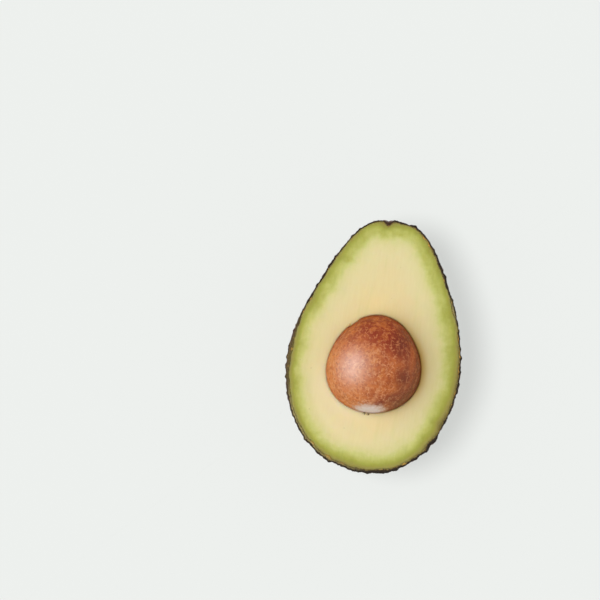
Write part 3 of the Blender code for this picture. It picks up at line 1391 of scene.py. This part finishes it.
@dataclass(frozen=True)
class SeedFinish:
    """A papery orange-brown seed coat, mottled, with pale veins and a low satin sheen, a painted highlight on
    its left and painted shade on its top, right and lower edge.
    """

    amber: Colour = tint(206, 120, 58)
    russet: Colour = tint(156, 64, 32)
    brown: Colour = tint(112, 54, 30)
    fleck: Colour = tint(146, 60, 26)
    straw: Colour = tint(216, 152, 104)
    gold: Colour = tint(220, 142, 66)
    chalk: Colour = tint(228, 211, 207)
    shroud: Colour = tint(206, 168, 146)
    bare: Colour = tint(196, 116, 66)
    painted_side_shade: Colour = tint(228, 190, 162)
    shade: Colour = tint(98, 54, 22)
    painted_highlight: Colour = tint(206, 168, 152)

    def _coat(self, sheet: Sheet, place: Socket) -> Socket:
        """The coat's colour, clouded, with a net of pale lines round its flecks, browner towards the right
        partly as painted shade.

        Args:
            sheet: the seed's node tree.
            place: the place, counted from the seed's middle.

        Returns:
            The colour.
        """
        # Duller and browner towards the right side: partly the coat's tone, partly painted shade away from
        # the key lamp.
        dullness_and_shade = sheet.painted("dullness_and_shade")
        cloud = sheet.noise(place, 11 * MM, 3, 0.55, 0.5)
        reddish = sheet.span(sheet.sum(Sum.ADD, cloud, sheet.painted("redness")), 0.35, 0.85)
        body = sheet.mix(reddish, self.amber, self.russet)
        dull_and_shade = sheet.sum(Sum.ADD, sheet.span(cloud, 0.0, 1.0, 0.22, 0.78), dullness_and_shade)
        body = sheet.mix(sheet.span(dull_and_shade, 0.55, 1.0, 0.0, 0.85), body, self.brown)
        golden = sheet.sum(Sum.TAKE, sheet.noise(place, 3.4 * MM, 3, 0.6, 0.5), dullness_and_shade)
        body = sheet.mix(sheet.span(golden, 0.54, 0.72, 0.0, 0.6), body, self.gold)
        wandering = sheet.pulled(place, 1.6 * MM, 2.2 * MM)
        patchy = sheet.span(sheet.noise(place, 2.2 * MM, 3, 0.6), 0.35, 0.62, 0.25, 1.0)
        patchy = sheet.sum(Sum.TIMES, patchy, sheet.span(dullness_and_shade, 0.1, 0.5, 1.0, 0.45))
        core = sheet.span(sheet.cells(wandering, 1.5 * MM), 0.2, 0.55, 0.55, 0.0)
        body = sheet.mix(sheet.sum(Sum.TIMES, core, patchy), body, self.fleck)
        shown = sheet.span(sheet.noise(place, 1.7 * MM, 4, 0.7), 0.44, 0.60)
        shown = sheet.sum(Sum.TIMES, shown, sheet.span(dullness_and_shade, 0.1, 0.5, 1.0, 0.4))
        net = sheet.span(sheet.cells(wandering, 1.5 * MM, edges=True), 0.02, 0.18, 0.85, 0.0)
        body = sheet.mix(sheet.sum(Sum.TIMES, net, shown), body, self.straw)
        blotch = sheet.span(sheet.noise(place, 1.3 * MM, 5, 0.75, 1.2), 0.52, 0.66, 0.0, 0.4)
        return sheet.mix(blotch, body, self.russet)

    def _marked(self, sheet: Sheet, place: Socket, body: Socket) -> Socket:
        """Lays the veins, the bared place, the pale streak, the chalky end, the painted shade and the painted
        highlight over the coat.

        Args:
            sheet: the seed's node tree.
            place: the place, counted from the seed's middle.
            body: the colour so far.

        Returns:
            The colour.
        """
        girth = sheet.painted("girth", "Vector")
        vein = sheet.span(sheet.cells(girth, 1.0, edges=True), 0.0, 0.035, 1.0, 0.0)
        shown = sheet.span(sheet.noise(place, 3.5 * MM, 3, 0.6), 0.46, 0.62, 0.0, 0.5)
        body = sheet.mix(sheet.sum(Sum.TIMES, vein, shown), body, self.straw)
        body = sheet.mix(sheet.sum(Sum.TIMES, sheet.painted("bared"), 0.6), body, self.bare)
        body = sheet.mix(sheet.painted("collar"), body, self.straw)
        # Painted shade: the top and right side darkened and reddened, away from the key lamp.
        body = sheet.mix(sheet.painted("painted_side_shade"), body, self.painted_side_shade, Mix.DARKEN)
        fray = sheet.sum(Sum.TAKE, sheet.noise(place, 2.2 * MM, 6, 0.75, 1.0), 0.5)
        chalky = sheet.sum(Sum.ADD, sheet.painted("chalky"), sheet.sum(Sum.TIMES, fray, 1.3))
        body = sheet.mix(sheet.span(chalky, 0.22, 0.62, 0.0, 0.85), body, self.shroud)
        body = sheet.mix(sheet.span(chalky, 0.45, 0.95, 0.0, 0.9), body, self.chalk)
        # Painted highlight: the coat paled towards pink round the key lamp's highlight.
        body = sheet.mix(sheet.span(sheet.painted("gloss_and_highlight"), 0.3, 1.0, 0.0, 0.32), body, self.painted_highlight)
        return sheet.mix(sheet.painted("shaded"), body, self.shade)

    def material(self, shape: SeedShape) -> bpy.types.Material:
        """Builds the seed's finish.

        Args:
            shape: the seed's form, for its middle.

        Returns:
            The finish.
        """
        sheet = Sheet("avocado_seed")
        place = sheet.place(tuple(shape.middle))
        body = self._marked(sheet, place, self._coat(sheet, place))
        rough = sheet.span(sheet.noise(place, 1.3 * MM, 4, 0.65), 0.35, 0.65, 0.32, 0.50)
        coarse = sheet.relief(sheet.noise(place, 1.8 * MM, 4, 0.6, 0.8), 0.13 * MM)
        fine = sheet.relief(sheet.noise(place, 0.6 * MM, 3, 0.6), 0.045 * MM, coarse)
        gloss = sheet.span(sheet.painted("gloss_and_highlight"), -0.4, 1.0, 0.02, 0.95)
        sheet.dress(Base_Color=body, Roughness=rough, Normal=fine, Specular_IOR_Level=gloss)
        sheet.dress(Subsurface_Weight=0.06, Subsurface_Scale=0.6 * MM)
        return sheet.material


@dataclass
class Seed:
    """The seed, whole, resting in the hollow."""

    shape: SeedShape
    finish: SeedFinish = field(default_factory=SeedFinish)
    fineness: int = 7
    spot: Triple = (0.05, -0.94, 0.34)
    streak_start: Triple = (0.19, -0.30, 0.93)
    streak_end: Triple = (0.06, -0.78, 0.62)
    sheen: Triple = (-0.45, -0.11, 0.89)

    def build(self) -> bpy.types.Object:
        """Builds the seed as one closed body.

        Returns:
            The seed.
        """
        ball = bmesh.new()
        bmesh.ops.create_icosphere(ball, subdivisions=self.fineness, radius=1.0)
        directions = np.array([vert.co[:] for vert in ball.verts])
        faces = np.array([[vert.index for vert in face.verts] for face in ball.faces])
        ball.free()
        directions /= np.linalg.norm(directions, axis=1)[:, None]
        points = self.shape.surface(directions)
        return built("avocado_seed", points, faces, self._paint(directions), self.finish.material(self.shape))

    def _streak(self, directions: np.ndarray) -> np.ndarray:
        """How strongly the coat's pale streak shows.

        Args:
            directions: unit directions of the seed's points.

        Returns:
            The streak's strength in each direction, from 0 to 1.
        """
        start = np.array(self.streak_start) / np.linalg.norm(self.streak_start)
        end = np.array(self.streak_end) / np.linalg.norm(self.streak_end)
        across = np.cross(start, end)
        across /= np.linalg.norm(across)
        ahead = np.cross(across, start)
        along = directions @ ahead / np.linalg.norm(ahead)
        reach = end @ ahead
        side = hump(directions @ across, 0.0, 0.022 + 0.02 * eased(0.0, reach, along))
        ends = eased(-0.05, 0.05, along) * eased(reach + 0.05, reach - 0.1, along)
        return side * ends * (directions[:, 2] > 0)

    def _paint(self, directions: np.ndarray) -> dict[str, np.ndarray]:
        """Numbers that the finish reads.

        Args:
            directions: unit directions of the seed's points.

        Returns:
            girth, the place round and along the seed that the veins follow; chalky, the pale spot at the
            blossom end; redness, where the coat's colour turns redder; the dullness, browner towards the
            right side, partly the coat's tone and partly painted shade; the painted shade that darkens and
            reddens the top and right side; the gloss, strongest round the painted highlight on the left;
            shaded, painted shade where it darkens towards the hollow; bared, where a flake is gone; and
            collar, the pale streak and a pale line just above the cut face on the left.
        """
        x, y, z = directions.T
        round_it = np.arctan2(x, z)
        from_end = np.arccos(np.clip(-y, -1, 1))
        wobble = Grain(61).layered(directions, 0.4)
        girth = [round_it * 3.2 + 0.5 * wobble, from_end * 1.5 + 0.5 * wobble, np.zeros(len(x))]
        spot = np.array(self.spot) / np.linalg.norm(self.spot)
        oblong = (directions - spot) * np.array([0.88, 1.0, 0.92])
        chalky = eased(0.48, 0.06, np.linalg.norm(oblong, axis=1))
        bearing = np.arctan2(y, x)
        left = hump(turned(bearing, 205.0), 0.0, 48.0)
        collar = 0.6 * left * hump(z + 0.01 * Grain(63).layered(directions, 0.2), 0.06, 0.025)
        # The glossiest place, centred on the key lamp's highlight, where the coat is also painted paler.
        gloss_and_highlight = hump(np.linalg.norm(directions - np.array(self.sheen), axis=1), 0.0, 0.55)
        # Painted shade on the top and right side, away from the key lamp.
        painted_side_shade = 1.15 * np.maximum(y, 0.0) + 0.65 * np.maximum(x, 0.0) + 0.12 * np.maximum(-x, 0.0)
        return {
            "girth": np.stack(girth, axis=1),
            "chalky": chalky,
            "redness": 0.42 * np.maximum(y, 0.0) + 0.20 * eased(-0.42, 0.05, x + 0.12 * wobble) - 0.12,
            # Partly painted shade: duller towards the right, away from the key lamp.
            "dullness_and_shade": 0.43 * eased(0.10, 0.68, x + 0.2 * wobble) - 0.12 * y - 0.02,
            "painted_side_shade": np.clip(painted_side_shade, 0, 1),
            "gloss_and_highlight": gloss_and_highlight - 0.4 * eased(0.42, 0.16, z),
            "shaded": eased(0.30, 0.10, z) * (0.15 + 0.75 * hump(turned(bearing, 20.0), 0.0, 75.0)),
            "bared": self.shape.flake(directions),
            "collar": np.maximum(collar, 0.5 * self._streak(directions + 0.02 * wobble[:, None])),
        }


@dataclass(frozen=True)
class ShredFinish:
    """Dry shreds of seed coat and stalk fibre, straw-coloured to dark brown."""

    pale: Colour = tint(232, 206, 150)
    dark: Colour = tint(78, 54, 26)

    def material(self) -> bpy.types.Material:
        """Builds the shreds' finish.

        Returns:
            The finish.
        """
        sheet = Sheet("avocado_shreds")
        colour = sheet.mix(sheet.painted("age"), self.pale, self.dark)
        uneven = sheet.noise(sheet.place(), 0.5 * MM, 3, 0.6)
        uneven = sheet.ramp(uneven, ((0.3, tint(120, 112, 104)), (0.7, tint(206, 206, 200))))
        colour = sheet.mix(0.5, colour, uneven, Mix.OVERLAY)
        fibre = sheet.relief(sheet.noise(sheet.place(stretch=(3.0, 1.0, 1.0)), 0.2 * MM, 2), 0.02 * MM)
        sheet.dress(Base_Color=colour, Roughness=0.6, Normal=fibre)
        return sheet.material


@dataclass
class Shreds:
    """Short fibres at the seed's foot, and a curl of coat beside the place where it flaked."""

    shape: SeedShape
    cut: float
    finish: ShredFinish = field(default_factory=ShredFinish)
    fibres: int = 6
    around: int = 7
    along: int = 9

    def build(self) -> bpy.types.Object:
        """Builds the shreds as one piece.

        Returns:
            The shreds.
        """
        parts = [self._fibre(number) for number in range(self.fibres)]
        parts.append(self._curl())
        points, faces, age = [], [], []
        start = 0
        for body, dark in parts:
            points.append(np.concatenate(body.rings))
            faces.append(body.faces() + start)
            age.append(np.full(len(points[-1]), dark))
            start += len(points[-1])
        every_point, every_face = np.concatenate(points), np.concatenate(faces)
        paint = {"age": np.concatenate(age)}
        return built("avocado_shreds", every_point, every_face, paint, self.finish.material())

    def _foot(self, bearing: float, rise: float, out: float) -> np.ndarray:
        """A point beside the seed.

        Args:
            bearing: its bearing in degrees.
            rise: its height over the cut face.
            out: how far it stands off the seed.

        Returns:
            The point.
        """
        sides = headings(np.array([math.radians(bearing)]), 0.0)
        point = self.shape.surface(sides, out)[0]
        point[2] = self.cut + rise
        return point

    def _fibre(self, number: int) -> tuple[Skeleton, float]:
        """One short, bent fibre from the seed's coat over the lip on to the flesh.

        Args:
            number: which fibre it is.

        Returns:
            Its surface, and how dark it is.
        """
        chance = np.random.default_rng(70 + number)
        bearing = 266.5 + 1.4 * number + chance.uniform(-0.5, 0.5)
        start = self._foot(bearing, 0.75 * MM, -0.10 * MM)
        end = self._foot(bearing + chance.uniform(-3.2, 3.2), 0.16 * MM, chance.uniform(0.6, 1.5) * MM)
        bend = np.array([chance.uniform(-0.6, 0.6), 0.0, chance.uniform(0.1, 0.5)]) * MM
        return self._strand(start, end, bend, 0.14 * MM, 1.0), chance.uniform(0.7, 1.0)

    def _curl(self) -> tuple[Skeleton, float]:
        """The curl of coat, a pale leaf standing on the flesh.

        Returns:
            Its surface, and how dark it is.
        """
        start = self._foot(133.5, 0.10 * MM, -0.05 * MM)
        end = self._foot(129.0, 0.55 * MM, 1.15 * MM)
        return self._strand(start, end, np.array([0.1, 0.25, 0.25]) * MM, 0.42 * MM, 0.3), 0.05

    def _strand(
        self, start: np.ndarray, end: np.ndarray, bend: np.ndarray, thick: float, flat: float
    ) -> Skeleton:
        """A bent strand that thins towards both ends.

        Args:
            start: where it starts.
            end: where it ends.
            bend: how far its middle is pushed aside.
            thick: its radius in the middle.
            flat: its height as a share of its width.

        Returns:
            Its surface.
        """
        line = (end - start) / np.linalg.norm(end - start)
        side = np.cross(line, [0.0, 0.0, 1.0])
        side /= np.linalg.norm(side)
        over = np.cross(side, line)
        turn = np.arange(self.around) / self.around * 2 * math.pi
        surface = Skeleton()
        for step in range(self.along + 1):
            share = step / self.along
            middle = start + (end - start) * share + bend * math.sin(math.pi * share)
            girth = thick * (0.25 + 0.75 * math.sin(math.pi * min(share * 1.1 + 0.05, 1.0)))
            count = 1 if step in (0, self.along) else self.around
            ring = side * (np.cos(turn) * girth)[:, None] + over * (np.sin(turn) * girth * flat)[:, None]
            surface.ring(middle + ring if count > 1 else middle[None, :])
        return surface


class Shine(Enum):
    """What a lamp gives: even light, glints on glossy surfaces, or both."""

    SOFT = "soft"
    GLINT = "glint"
    FULL = "full"


@dataclass(frozen=True)
class Lamp:
    """A soft lamp that faces the fruit.

    Its bearing is counted from the view's right towards its top, and its height is an angle,
    both in degrees. Its sides are its height and its width, and its power is in watts.
    """

    name: str
    bearing: float
    height: float
    far: float
    sides: tuple[float, float]
    power: float
    shine: Shine
    peel_only: bool = False
    shade: Colour = tint(255, 252, 250)


@dataclass
class Studio:
    """The pale table, the soft lamps, the sky and the camera over the table."""

    pieces: list[bpy.types.Object]
    top: float
    turn: float = 8.87
    view_width: float = 239.3 * MM
    camera_height: float = 1.2
    aside: float = -30.6 * MM
    beyond: float = 18.3 * MM
    table_size: float = 24.0
    table_tint: Colour = tint(237, 240, 237)
    table_glow: float = 0.665
    nook_reach: float = 13 * MM
    sun_bearing: float = 173.0
    sun_height: float = 71.0
    sun_spread: float = 22.0
    sun_power: float = 3.7
    sky: Steps = ((0.35, tint(206, 208, 206)), (0.95, tint(138, 139, 140)))
    lamps: tuple[Lamp, ...] = (
        Lamp("key_lamp", 181.0, 42.0, 0.60, (0.60, 0.80), 2.2, Shine.SOFT),
        Lamp("top_lamp", 30.0, 66.0, 0.75, (0.85, 0.85), 2.8, Shine.SOFT),
        Lamp("fill_lamp", 0.0, 20.0, 0.60, (0.40, 0.34), 0.22, Shine.FULL, shade=tint(232, 238, 255)),
        Lamp("glint_lamp", 181.0, 37.0, 0.55, (0.40, 0.56), 2.3, Shine.GLINT),
        Lamp("side_glint", 181.0, 34.0, 0.60, (0.22, 0.30), 3.6, Shine.GLINT, peel_only=True),
        Lamp("front_glint", 290.0, 38.0, 0.60, (0.24, 0.32), 4.6, Shine.GLINT, peel_only=True),
        Lamp("back_glint", 60.0, 38.0, 0.60, (0.24, 0.32), 4.6, Shine.GLINT, peel_only=True),
    )

    def _level(self, degrees: float) -> Vector:
        """A level direction, counted from the view's right towards its top."""
        angle = math.radians(degrees + self.turn)
        return Vector((math.cos(angle), math.sin(angle), 0.0))

    def _outward(self, bearing: float, height: float) -> Vector:
        """The direction from the fruit to a lamp, by its bearing and height in degrees."""
        rise = math.radians(height)
        return self._level(bearing) * math.cos(rise) + Vector((0, 0, math.sin(rise)))

    def _lit(self, name: str, pieces: list[bpy.types.Object]) -> bpy.types.Collection:
        """Gathers the pieces that a lamp lights.

        Args:
            name: the group's name.
            pieces: what belongs to it.

        Returns:
            The group.
        """
        group = bpy.data.collections.new(name)
        for piece in pieces:
            group.objects.link(piece)
        return group

    def build(self) -> None:
        """Builds the table, the lamps, the sky and the camera."""
        table = self._table()
        fruit = self._lit("lit_fruit", self.pieces)
        peel = self._lit("lit_peel", self.pieces[:1])
        for lamp in self.lamps:
            self._hang(lamp, peel if lamp.peel_only else fruit)
        self._sun(self._lit("lit_table", [table]))
        self._sky()
        self._camera()

    def _table(self) -> bpy.types.Object:
        """Lays a pale table top under the fruit.

        Returns:
            The table top.
        """
        sheet = Sheet("pale_table")
        grain = sheet.noise(sheet.place(), 0.4, 2)
        pale = sheet.mix(sheet.span(grain, 0.3, 0.7, 0.0, 0.02), tint(120, 121, 120), tint(112, 113, 112))
        sheet.dress(Base_Color=pale, Roughness=0.9, Specular_IOR_Level=0.0)
        nook = sheet.tree.nodes.new("ShaderNodeAmbientOcclusion")
        nook.inputs["Distance"].default_value = self.nook_reach
        nook.samples = 8
        glow = sheet.sum(Sum.TIMES, sheet.span(nook.outputs["AO"], 0.0, 0.9), self.table_glow)
        sheet.dress(Emission_Color=self.table_tint, Emission_Strength=glow)
        half = self.table_size / 2
        mesh = bpy.data.meshes.new("table_top")
        corners = [(-half, -half, 0.0), (half, -half, 0.0), (half, half, 0.0), (-half, half, 0.0)]
        mesh.from_pydata(corners, [], [(0, 1, 2, 3)])
        mesh.materials.append(sheet.material)
        table = bpy.data.objects.new("table_top", mesh)
        bpy.context.scene.collection.objects.link(table)
        return table

    def _hang(self, lamp: Lamp, lit: bpy.types.Collection) -> None:
        """Hangs a soft lamp that faces the fruit.

        Args:
            lamp: the lamp.
            lit: what it lights.
        """
        light = bpy.data.lights.new(lamp.name, "AREA")
        light.shape = "RECTANGLE"
        light.size_y, light.size = lamp.sides
        light.energy = lamp.power
        light.color = lamp.shade[:3]
        hung = bpy.data.objects.new(lamp.name, light)
        bpy.context.scene.collection.objects.link(hung)
        outward = self._outward(lamp.bearing, lamp.height)
        hung.location = Vector((0, 0, self.top)) + outward * lamp.far
        hung.rotation_euler = outward.to_track_quat("Z", "Y").to_euler()
        hung.light_linking.receiver_collection = lit
        hung.visible_camera = False
        hung.visible_glossy = lamp.shine is not Shine.SOFT
        hung.visible_diffuse = lamp.shine is not Shine.GLINT

    def _sun(self, lit: bpy.types.Collection) -> None:
        """Adds the high, wide light that draws the fruit's soft shadow on the table.

        Args:
            lit: what it lights.
        """
        light = bpy.data.lights.new("table_lamp", "SUN")
        light.energy = self.sun_power
        light.angle = math.radians(self.sun_spread)
        hung = bpy.data.objects.new("table_lamp", light)
        bpy.context.scene.collection.objects.link(hung)
        outward = self._outward(self.sun_bearing, self.sun_height)
        hung.rotation_euler = outward.to_track_quat("Z", "Y").to_euler()
        hung.light_linking.receiver_collection = lit

    def _sky(self) -> None:
        """Fills the room with even light, brighter near the ground."""
        world = bpy.data.worlds.new("pale_room")
        world.use_nodes = True
        nodes, links = world.node_tree.nodes, world.node_tree.links
        place = nodes.new("ShaderNodeTexCoord")
        split = nodes.new("ShaderNodeSeparateXYZ")
        row = nodes.new("ShaderNodeValToRGB")
        links.new(place.outputs["Generated"], split.inputs["Vector"])
        links.new(split.outputs["Z"], row.inputs["Fac"])
        for element, (at, colour) in zip(row.color_ramp.elements, self.sky):
            element.position = at
            element.color = colour
        links.new(row.outputs["Color"], nodes["Background"].inputs["Color"])
        bpy.context.scene.world = world

    def _camera(self) -> None:
        """Hangs the camera over the table, looking straight down."""
        eye = bpy.data.cameras.new("camera")
        eye.sensor_width = 36.0
        eye.lens = eye.sensor_width * self.camera_height / self.view_width
        eye.clip_start = 0.01
        hung = bpy.data.objects.new("camera", eye)
        bpy.context.scene.collection.objects.link(hung)
        across, upward = self._level(0.0), self._level(90.0)
        over = Vector((0, 0, self.top + self.camera_height))
        hung.location = across * self.aside + upward * self.beyond + over
        hung.rotation_euler = (0.0, 0.0, math.radians(self.turn))
        bpy.context.scene.camera = hung
        bpy.context.scene.view_settings.view_transform = "Standard"


def main() -> None:
    """Builds the pieces in order, sets them on the frame and lights them."""
    skin_low, skin_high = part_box("skin")
    seed_low, seed_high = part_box("seed")
    fruit = Fruit(
        length=skin_high.y - skin_low.y,
        width=skin_high.x - skin_low.x,
        cut=skin_high.z,
        centre=(seed_low.y + seed_high.y) / 2,
    )
    shape = SeedShape(
        middle=np.array((seed_low + seed_high) / 2),
        half=np.array((seed_high - seed_low) / 2),
    )
    rind = Rind(fruit)
    pieces = []
    makers = (
        ("skin", Skin(fruit, rind)),
        ("flesh", Flesh(fruit, rind, shape)),
        ("seed", Seed(shape)),
        ("seed", Shreds(shape, fruit.cut)),
    )
    for node, maker in makers:
        piece = maker.build()
        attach(piece, BODY)
        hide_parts(node)
        pieces.append(piece)
        log.info("%s: %d points, %d faces", piece.name, len(piece.data.vertices), len(piece.data.polygons))
    Studio(pieces, fruit.cut).build()


if __name__ == "__main__":
    logging.basicConfig(level=logging.INFO, format="%(message)s")
    main()
